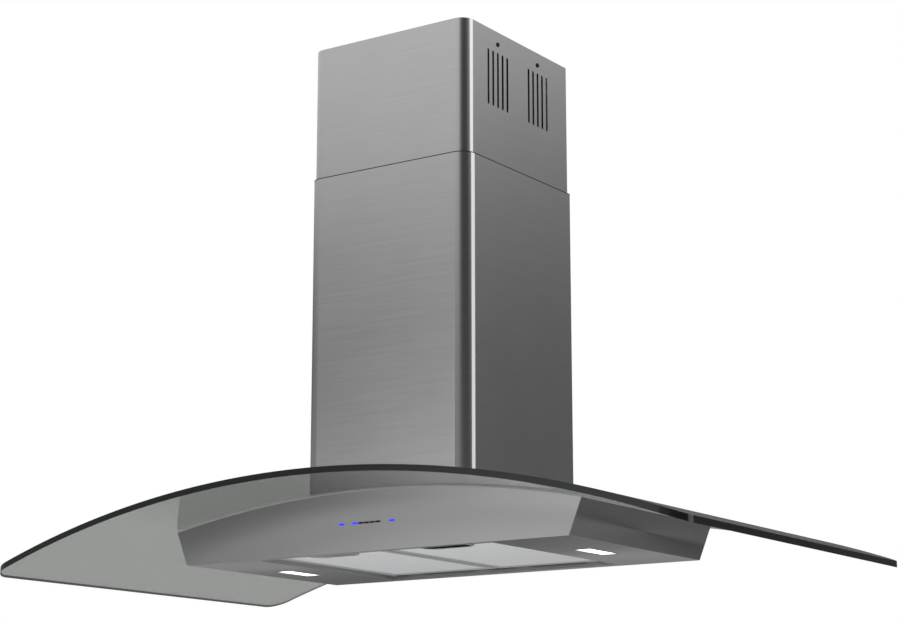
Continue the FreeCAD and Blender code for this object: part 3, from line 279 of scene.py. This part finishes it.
def eased(node, name, material, edge, segments=2, angle=40):
    """A clean copy of a CAD node with its sharp edges rounded by edge metres, in its place."""
    slot = frame["nodes"][node].data.materials[0].name.split(".")[0]
    piece = merged_copy(node, name)
    bpy.ops.mesh.dissolve_limited(angle_limit=math.radians(0.1))
    bpy.ops.object.mode_set(mode="OBJECT")
    if edge:
        use(piece, "BEVEL", width=edge, segments=segments, limit_method="ANGLE", angle_limit=math.radians(angle),
            use_clamp_overlap=True)
    smooth_faces(piece)
    return settle(piece, body_of_node[node], slot, material, node)


chimney_steel = stainless("brushed_stainless_level_grain", "b4b4b4", "cbcbcb", 0.14, 0.20,
                          (0.09, 0.09, 0.0007), 0.25)
for node, name in (("upper_chimney_front", "upper_cover"), ("upper_chimney_rear", "upper_back_cover"),
                   ("lower_chimney_front", "lower_cover"), ("lower_chimney_rear", "lower_back_cover")):
    eased(node, name, chimney_steel, 0.00025)


# Chimney edging and vent trays, partly painted shade: black vinyl edging is clipped on the lower covers' top rim, so
# that they don't scratch the upper ones, and its black also paints the thin shadow line at the step. A black tray
# behind each side's vents hides what is inside and stands in, as a sheet of painted shade, for the dark inside the
# chimney.
# This black is painted shade: the edging draws the step's shadow line, and the trays the dark behind the vents.
painted_shade_black, tree, shader, place = surface("black_painted_shade_sheet", Specular_IOR_Level=0.3)
drag = add(tree, "ShaderNodeTexNoise", {"Vector": place, "Scale": 1 / 0.002, "Detail": 3}).outputs["Fac"]
mottled(tree, shader, drag, "101010", "191919", 0.5, 0.7)
raised(tree, shader, drag, 0.00003, 0.4)
edging_thick = 0.0003
edging_reach = 0.0008       # down the cover from its rim
for part in ("front", "rear"):
    cover = f"lower_chimney_{part}"
    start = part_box(cover)[1].z - edging_reach
    # The edging's black strip paints the shadow line where the lower cover meets the upper one.
    shade_edging = merged_copy(cover, f"rim_shade_edging_{part}")
    bpy.ops.mesh.select_all(action="SELECT")
    bpy.ops.mesh.bisect(plane_co=(0, 0, start), plane_no=(0, 0, 1), clear_inner=True)
    bpy.ops.object.mode_set(mode="OBJECT")
    use(shade_edging, "SOLIDIFY", thickness=edging_thick, offset=1)
    smooth_faces(shade_edging)
    settle(shade_edging, "chimney_cover", "black_plastic", painted_shade_black)
cover_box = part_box("upper_chimney_front")
tray_deep, tray_wide, tray_high = 0.010, 0.172, 0.093
tray_middle = -0.070        # height of its middle, level with the middle of the vents
tray_setback = 0.0065       # from the cover's outer face to the tray's middle
tray_border = 0.006
tray_sink = 0.0085
# Each tray is a black sheet of painted shade, so the vent slots read as dark openings.
for side, name in ((-1, "left"), (1, "right")):
    bpy.ops.object.select_all(action="DESELECT")
    bpy.ops.mesh.primitive_cube_add(size=1, location=(side * (cover_box[1].x - tray_setback), 0, tray_middle),
                                    scale=(tray_deep, tray_wide, tray_high))
    shade_tray = bpy.context.object
    bpy.ops.object.transform_apply(location=True, rotation=True, scale=True)
    for face in shade_tray.data.polygons:
        face.select = face.normal.x * side > 0.9
    bpy.ops.object.mode_set(mode="EDIT")
    bpy.ops.mesh.select_mode(type="FACE")
    bpy.ops.mesh.inset(thickness=tray_border)
    bpy.ops.transform.translate(value=(-side * tray_sink, 0, 0))
    bpy.ops.mesh.select_mode(type="VERT")
    bpy.ops.object.mode_set(mode="OBJECT")
    use(shade_tray, "BEVEL", width=0.0008, segments=2, limit_method="ANGLE", angle_limit=math.radians(40))
    shade_tray.name = f"vent_shade_tray_{name}"
    smooth_faces(shade_tray)
    settle(shade_tray, "ceiling_side", "black_plastic", painted_shade_black)


# Chimney screws: four pan-head screws with a cross recess hold the upper covers to the ceiling plate's
# flanges, above the middle vent slot of each group. Black zinc plating makes them dark spots on the sheet.
screw_steel, tree, shader, place = surface("zinc_plated_screws", Metallic=1.0)
wear = add(tree, "ShaderNodeTexNoise", {"Vector": place, "Scale": 1 / 0.0015, "Detail": 3}).outputs["Fac"]
mottled(tree, shader, wear, "1d1e1f", "38393a", 0.30, 0.45)
screw_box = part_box("upper_chimney_screws")
head_high = screw_box[1].x - cover_box[1].x
head_radius = (screw_box[1].z - screw_box[0].z) / 2
screw_line = (screw_box[1].z + screw_box[0].z) / 2
shank_long = 0.008
cross_long, cross_narrow = 0.62, 0.16       # of the head's width
screw_set = []
for side in (-1, 1):
    for across in (screw_box[0].y + head_radius, screw_box[1].y - head_radius):
        start = side * cover_box[1].x
        bpy.ops.object.select_all(action="DESELECT")
        bpy.ops.mesh.primitive_cylinder_add(vertices=32, radius=head_radius, depth=head_high,
                                            location=(start + side * head_high / 2, across, screw_line),
                                            rotation=(0, side * math.pi / 2, 0))
        head = bpy.context.object
        bpy.ops.object.transform_apply(location=True, rotation=True, scale=True)
        use(head, "BEVEL", width=head_high * 0.7, segments=4, limit_method="ANGLE", angle_limit=math.radians(50))
        for wide, tall in ((cross_long, cross_narrow), (cross_narrow, cross_long)):
            bpy.ops.object.select_all(action="DESELECT")
            bpy.ops.mesh.primitive_cube_add(size=1, location=(start + side * head_high, across, screw_line),
                                            scale=(head_high * 1.3, 2 * head_radius * wide, 2 * head_radius * tall))
            bit = bpy.context.object
            bpy.ops.object.transform_apply(location=True, rotation=True, scale=True)
            use(head, "BOOLEAN", object=bit, operation="DIFFERENCE", solver="EXACT")
            bpy.data.objects.remove(bit)
        bpy.ops.object.select_all(action="DESELECT")
        bpy.ops.mesh.primitive_cylinder_add(vertices=20, radius=head_radius * 0.5, depth=shank_long,
                                            location=(start - side * shank_long / 2, across, screw_line),
                                            rotation=(0, side * math.pi / 2, 0))
        bpy.ops.object.transform_apply(location=True, rotation=True, scale=True)
        screw_set += [head, bpy.context.object]
bpy.ops.object.select_all(action="DESELECT")
for bit in screw_set:
    bit.select_set(True)
bpy.context.view_layer.objects.active = screw_set[0]
bpy.ops.object.join()
cover_screws = bpy.context.object
cover_screws.name = "cover_screws"
smooth_faces(cover_screws)
settle(cover_screws, "ceiling_side", "bright_screws", screw_steel, "upper_chimney_screws")
finish(screw_steel, "frame_clamp_screws", "glass_bolts", "filter_hinge_rod", "fan_shaft")


# Glass canopy: one sheet of tempered float glass, 8 mm thick and tinted grey-green, bent about a level line
# front to back. Its edges are ground, polished and slightly rounded, and look nearly black end on.
glass_radius = 1.564
glass_thick = 0.008
glass_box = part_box("glass_canopy")
bend_line = glass_box[1].z - glass_thick - glass_radius
tinted_glass, tree, shader, place = surface("tempered_tinted_glass", Transmission_Weight=1.0, IOR=1.5,
                                            Specular_IOR_Level=0.5)
film = add(tree, "ShaderNodeTexNoise", {"Vector": place, "Scale": 1 / 0.15, "Detail": 2}).outputs["Fac"]
mottled(tree, shader, film, "8c8f8c", "909390", 0.0, 0.015)
glass_edge, tree, shader, place = surface("polished_glass_edge", IOR=1.5)
ground = add(tree, "ShaderNodeTexNoise", {"Vector": place, "Scale": 1 / 0.004, "Detail": 2}).outputs["Fac"]
mottled(tree, shader, ground, "0c100f", "161b19", 0.06, 0.14)
canopy = eased("glass_canopy", "canopy_glass", tinted_glass, 0)
select_only(canopy)
glass_strips = 64
bend_slack = 0.0004         # a point this near a face of the glass belongs on it
glass_edge_round = 0.0012
bpy.ops.object.mode_set(mode="EDIT")
for step in range(1, glass_strips):
    bpy.ops.mesh.select_all(action="SELECT")
    across = glass_box[0].x + (glass_box[1].x - glass_box[0].x) * step / glass_strips
    bpy.ops.mesh.bisect(plane_co=(across, 0, 0), plane_no=(1, 0, 0))
bpy.ops.object.mode_set(mode="OBJECT")
for point in canopy.data.vertices:
    reach = math.hypot(point.co.x, point.co.z - bend_line)
    for layer in (glass_radius, glass_radius + glass_thick):
        if abs(reach - layer) < bend_slack:
            point.co.x *= layer / reach
            point.co.z = bend_line + (point.co.z - bend_line) * layer / reach
use(canopy, "BEVEL", width=glass_edge_round, segments=3, limit_method="ANGLE", angle_limit=math.radians(50))
canopy.data.materials.append(glass_edge)
for face in canopy.data.polygons:
    outward = Vector((face.center.x, 0, face.center.z - bend_line)).normalized()
    face.material_index = 0 if abs(face.normal.dot(outward)) > 0.9 else 1
smooth_faces(canopy)


# Glass gasket and bushes: a strip of pale grey silicone between the glass and the body's folded edges, and
# four stepped rubber bushes that keep the bolts off the glass.
silicone, tree, shader, place = surface("pale_grey_silicone", Specular_IOR_Level=0.4)
bloom = add(tree, "ShaderNodeTexNoise", {"Vector": place, "Scale": 1 / 0.003, "Detail": 3}).outputs["Fac"]
mottled(tree, shader, bloom, "8b8d8c", "a2a4a3", 0.45, 0.6)
raised(tree, shader, bloom, 0.00003, 0.5)
eased("glass_gasket", "gasket_strip", silicone, 0.0003)
rubber, tree, shader, place = surface("black_epdm_rubber", Specular_IOR_Level=0.3)
bloom = add(tree, "ShaderNodeTexNoise", {"Vector": place, "Scale": 1 / 0.002, "Detail": 4}).outputs["Fac"]
mottled(tree, shader, bloom, "1b1b1b", "2a2a2a", 0.6, 0.8)
finish(rubber, "glass_bushes")


# Body: front, rear and side panels of brushed stainless, 1.2 mm thick, welded at the corners and dressed
# with the grain level. The ends lean outwards and the top edges follow the glass.
panel_steel = stainless("brushed_stainless_panels", "adadad", "c6c6c6", 0.22, 0.30, (0.09, 0.09, 0.0006), 0.25)
for node, name in (("front_panel", "front_fascia"), ("rear_panel", "rear_fascia"),
                   ("side_panel_left", "left_cheek"), ("side_panel_right", "right_cheek")):
    eased(node, name, panel_steel, 0.0004, angle=30)


# Underside: one sheet with the filter recess and the two lamp windows, and the surround that lines the
# recess. It is the same stainless with its grain along the hood.
underside_steel = stainless("brushed_stainless_underside", "b2b2b2", "c6c6c6", 0.40, 0.48,
                            (0.12, 0.0007, 0.0007), 0.0)
eased("underside_sheet", "bottom_sheet", underside_steel, 0.0003)
eased("filter_surround", "recess_lining", underside_steel, 0.0003)


# Grease filters: two frames of folded aluminium channel. Each holds layers of expanded aluminium mesh, cut
# and stretched into diamonds 6 mm by 4 mm, laid across each other so that the air has to turn.
mill_aluminium, tree, shader, place = surface("mill_finish_aluminium", Metallic=0.75)
rolled = add(tree, "ShaderNodeMapping", {"Vector": place, "Scale": (1 / 0.0009, 1 / 0.05, 1 / 0.0009)})
rolled = add(tree, "ShaderNodeTexNoise", {"Vector": rolled.outputs["Vector"], "Scale": 1.0,
                                          "Detail": 4}).outputs["Fac"]
mottled(tree, shader, rolled, "b9bbbc", "d3d5d6", 0.34, 0.48)
raised(tree, shader, rolled, 0.00002, 0.4)
mesh_aluminium, tree, shader, place = surface("expanded_aluminium_mesh", Metallic=0.6)
cut_marks = add(tree, "ShaderNodeTexNoise", {"Vector": place, "Scale": 1 / 0.002, "Detail": 4}).outputs["Fac"]
mottled(tree, shader, cut_marks, "c4c6c7", "e4e5e6", 0.38, 0.55)
raised(tree, shader, cut_marks, 0.00005, 0.6)


def flat_ring(name, centre, half_x, half_y, corner, border, thick):
    """A flat ring with rounded corners round an opening, facing down at centre and thick metres high."""
    bpy.ops.object.select_all(action="DESELECT")
    bpy.ops.mesh.primitive_circle_add(vertices=64, radius=corner, fill_type="NOTHING", location=(0, 0, 0),
                                      rotation=(0, 0, math.pi / 64))
    made = bpy.context.object
    bpy.ops.object.transform_apply(location=True, rotation=True, scale=True)
    bpy.ops.object.mode_set(mode="EDIT")
    bpy.ops.mesh.select_all(action="SELECT")
    bpy.ops.mesh.extrude_region_move()
    bpy.ops.transform.resize(value=((corner + border) / corner,) * 3)
    bpy.ops.object.mode_set(mode="OBJECT")
    for point in made.data.vertices:
        point.co.x += centre[0] + math.copysign(half_x - corner, point.co.x)
        point.co.y += centre[1] + math.copysign(half_y - corner, point.co.y)
        point.co.z = centre[2]
    select_only(made)
    bpy.ops.object.mode_set(mode="EDIT")
    bpy.ops.mesh.select_all(action="SELECT")
    bpy.ops.mesh.normals_make_consistent(inside=False)
    bpy.ops.object.mode_set(mode="OBJECT")
    if made.data.polygons[0].normal.z > 0:
        made.data.flip_normals()
    use(made, "SOLIDIFY", thickness=thick, offset=-1)
    use(made, "BEVEL", width=thick * 0.3, segments=2, limit_method="ANGLE", angle_limit=math.radians(50))
    made.name = name
    smooth_faces(made)
    return made


def mesh_layer(side, rise, long_way, short_way, shift=(0, 0)):
    """One sheet of mesh rise metres above a filter's face, with an opening for the grip cup."""
    low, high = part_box(f"filter_mesh_{side}")
    cup_low, cup_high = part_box(f"filter_cup_{side}")
    middle = (low + high) / 2
    count = int((high.x - low.x) / long_way + (high.y - low.y) / short_way) + 3
    bpy.ops.object.select_all(action="DESELECT")
    bpy.ops.mesh.primitive_grid_add(x_subdivisions=count, y_subdivisions=count, size=count, location=(0, 0, 0),
                                    rotation=(0, 0, math.pi / 4))
    layer = bpy.context.object
    bpy.ops.object.transform_apply(location=True, rotation=True, scale=True)
    layer.scale = (long_way / math.sqrt(2), short_way / math.sqrt(2), 1)
    layer.location = (middle.x + shift[0], middle.y + shift[1], low.z + rise)
    bpy.ops.object.transform_apply(location=True, rotation=True, scale=True)
    bpy.ops.object.mode_set(mode="EDIT")
    for at, out in (((low.x, 0, 0), (-1, 0, 0)), ((high.x, 0, 0), (1, 0, 0)),
                    ((0, low.y, 0), (0, -1, 0)), ((0, high.y, 0), (0, 1, 0))):
        bpy.ops.mesh.select_all(action="SELECT")
        bpy.ops.mesh.bisect(plane_co=at, plane_no=out, clear_outer=True)
    bpy.ops.object.mode_set(mode="OBJECT")
    cup_middle = (cup_low + cup_high) / 2
    cup_radius = (cup_high.y - cup_low.y) / 2
    cup_straight = (cup_high.x - cup_low.x) / 2 - cup_radius
    shape = bmesh.new()
    shape.from_mesh(layer.data)
    inside_cup = []
    for face in shape.faces:
        centre = face.calc_center_median()
        over = max(abs(centre.x - cup_middle.x) - cup_straight, 0)
        if math.hypot(over, centre.y - cup_middle.y) < cup_radius + cup_border:
            inside_cup.append(face)
    bmesh.ops.delete(shape, geom=inside_cup, context="FACES")
    shape.to_mesh(layer.data)
    shape.free()
    return layer


cup_border = 0.002          # mesh cut back round the cup
fine_diamond = (0.0062, 0.0040)
fine_sheets = ((0.0008, (0, 0)), (0.0026, (0.0016, 0.0010)))       # rise of each and its shift along X and Y
wire_thick = 0.0010
packing_diamond = (0.0093, 0.0060)
packing_rise, packing_thick = 0.0046, 0.0012
crumple = 0.0009
for side in ("left", "right"):
    eased(f"filter_frame_{side}", f"filter_channel_{side}", mill_aluminium, 0.0006)
    layers = []
    for rise, shift in fine_sheets:
        layer = mesh_layer(side, rise, *fine_diamond, shift)
        use(layer, "WIREFRAME", thickness=wire_thick, offset=0, use_even_offset=False, use_boundary=True)
        layers.append(layer)
    packing = mesh_layer(side, packing_rise, *packing_diamond)
    for index, point in enumerate(packing.data.vertices):
        point.co.z += crumple * math.sin(index * 12.9898) * math.cos(index * 4.1414)
    use(packing, "SOLIDIFY", thickness=packing_thick, offset=1)
    bpy.ops.object.select_all(action="DESELECT")
    for layer in (*layers, packing):
        layer.select_set(True)
    bpy.context.view_layer.objects.active = layers[0]
    bpy.ops.object.join()
    packed = bpy.context.object
    packed.name = f"filter_layers_{side}"
    settle(packed, f"filter_{side}", "filter_aluminium", mesh_aluminium, f"filter_mesh_{side}")


# Filter grips: a drawn aluminium cup with a pressed rim in each filter, and a black catch that a finger
# slides back in it.
moulded_black, tree, shader, place = surface("moulded_black_abs", Specular_IOR_Level=0.5)
grit = add(tree, "ShaderNodeTexNoise", {"Vector": place, "Scale": 1 / 0.0006, "Detail": 3}).outputs["Fac"]
mottled(tree, shader, grit, "141416", "1f2022", 0.42, 0.58)
raised(tree, shader, grit, 0.00004, 0.4)
rim_inset, rim_corner_inset = 0.0008, 0.0009        # in from the cup's outline
rim_drop, rim_border, rim_thick = 0.0005, 0.0035, 0.0007
for side in ("left", "right"):
    eased(f"filter_cup_{side}", f"grip_cup_{side}", mill_aluminium, 0.0004)
    cup_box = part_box(f"filter_cup_{side}")
    cup_middle = (cup_box[0] + cup_box[1]) / 2
    cup_half = (cup_box[1] - cup_box[0]) / 2
    rim = flat_ring(f"grip_rim_{side}", (cup_middle.x, cup_middle.y, cup_box[0].z - rim_drop),
                    cup_half.x - rim_inset, cup_half.y - rim_inset, cup_half.y - rim_corner_inset,
                    rim_border, rim_thick)
    settle(rim, f"filter_{side}", "filter_aluminium", mill_aluminium)
    eased(f"filter_catch_{side}", f"finger_catch_{side}", moulded_black, 0.0008, segments=3)
finish(moulded_black, "control_cover", "electronics_box", "cable_gland", "fan_wheel")


# Lamps: two strips of white light behind opal polycarbonate lenses, each in a pressed bright frame in the
# underside, with a bare aluminium housing above that takes the heat away.
opal_lens, tree, shader, place = surface("opal_polycarbonate_lens", Roughness=0.3, Emission_Strength=2.6)
prisms = add(tree, "ShaderNodeTexNoise", {"Vector": place, "Scale": 1 / 0.002, "Detail": 2}).outputs["Fac"]
lit = add(tree, "ShaderNodeMix", {0: prisms, 6: linear("f2f5fb"), 7: linear("ffffff")},
          data_type="RGBA").outputs[2]
tree.links.new(lit, shader.inputs["Base Color"])
tree.links.new(lit, shader.inputs["Emission Color"])
bare_aluminium, tree, shader, place = surface("extruded_bare_aluminium", Metallic=1.0)
drawn = add(tree, "ShaderNodeMapping", {"Vector": place, "Scale": (1 / 0.0008, 1 / 0.04, 1 / 0.0008)})
drawn = add(tree, "ShaderNodeTexNoise", {"Vector": drawn.outputs["Vector"], "Scale": 1.0,
                                         "Detail": 3}).outputs["Fac"]
mottled(tree, shader, drawn, "b4b6b8", "cfd1d3", 0.30, 0.42)
finish(bare_aluminium, "lamp_housing_left", "lamp_housing_right", "capacitor")
trim_inset, trim_corner = 0.0002, 0.0022
trim_drop, trim_border, trim_thick = 0.0007, 0.0026, 0.0008
for side in ("left", "right"):
    eased(f"lamp_lens_{side}", f"lamp_diffuser_{side}", opal_lens, 0.0009, segments=3)
    lens_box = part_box(f"lamp_lens_{side}")
    lens_middle = (lens_box[0] + lens_box[1]) / 2
    lens_half = (lens_box[1] - lens_box[0]) / 2
    trim_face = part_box("underside_sheet")[0].z - trim_drop
    trim = flat_ring(f"lamp_trim_{side}", (lens_middle.x, lens_middle.y, trim_face), lens_half.x - trim_inset,
                     lens_half.y - trim_inset, trim_corner, trim_border, trim_thick)
    settle(trim, "hood", "stainless_underside", underside_steel)


# Controls: seven slim push bars in slots of the front panel. Three are lit blue from behind and four are
# plain black. Their board stands behind the panel under a black cover.
key_black, tree, shader, place = surface("gloss_black_key", Specular_IOR_Level=0.5)
grit = add(tree, "ShaderNodeTexNoise", {"Vector": place, "Scale": 1 / 0.0005, "Detail": 2}).outputs["Fac"]
mottled(tree, shader, grit, "0b0b0d", "131316", 0.22, 0.34)
key_blue, tree, shader, place = surface("blue_lit_key", Roughness=0.3, Emission_Strength=1.3)
glow_spots = add(tree, "ShaderNodeTexNoise", {"Vector": place, "Scale": 1 / 0.0012, "Detail": 2}).outputs["Fac"]
lit = add(tree, "ShaderNodeMix", {0: glow_spots, 6: linear("160ee0"), 7: linear("2a2cff")},
          data_type="RGBA").outputs[2]
tree.links.new(lit, shader.inputs["Base Color"])
tree.links.new(lit, shader.inputs["Emission Color"])
for key in ("power", "speed_1", "speed_2", "speed_3", "speed_4", "speed_5", "light"):
    eased(f"key_{key}", f"push_bar_{key}", key_blue if key in ("power", "speed_1", "light") else key_black, 0.0004)
laminate, tree, shader, place = surface("green_glass_fibre_board", Specular_IOR_Level=0.5)
tracks = add(tree, "ShaderNodeTexVoronoi", {"Vector": place, "Scale": 1 / 0.004}, distance="CHEBYCHEV",
             feature="F1").outputs["Distance"]
tracks = add(tree, "ShaderNodeMath", {0: tracks, 1: 0.45}, operation="GREATER_THAN").outputs[0]
mottled(tree, shader, tracks, "14532d", "2f7a45", 0.35, 0.25)
finish(laminate, "control_board")


# Motor: an enamelled steel can behind the scroll. The junction box for the house wiring is grey moulded
# plastic, screwed to the lower rails.
enamel, tree, shader, place = surface("grey_motor_enamel", Coat_Weight=0.3, Coat_Roughness=0.2)
peel = add(tree, "ShaderNodeTexNoise", {"Vector": place, "Scale": 1 / 0.0016, "Detail": 2}).outputs["Fac"]
mottled(tree, shader, peel, "3a3d40", "4b4f53", 0.3, 0.42)
raised(tree, shader, peel, 0.00005, 0.5)
finish(enamel, "fan_motor")
moulded_grey, tree, shader, place = surface("moulded_grey_plastic", Specular_IOR_Level=0.5)
grit = add(tree, "ShaderNodeTexNoise", {"Vector": place, "Scale": 1 / 0.0007, "Detail": 3}).outputs["Fac"]
mottled(tree, shader, grit, "8f9294", "a3a6a8", 0.45, 0.6)
raised(tree, shader, grit, 0.00004, 0.4)
finish(moulded_grey, "junction_box")


bpy.context.view_layer.update()
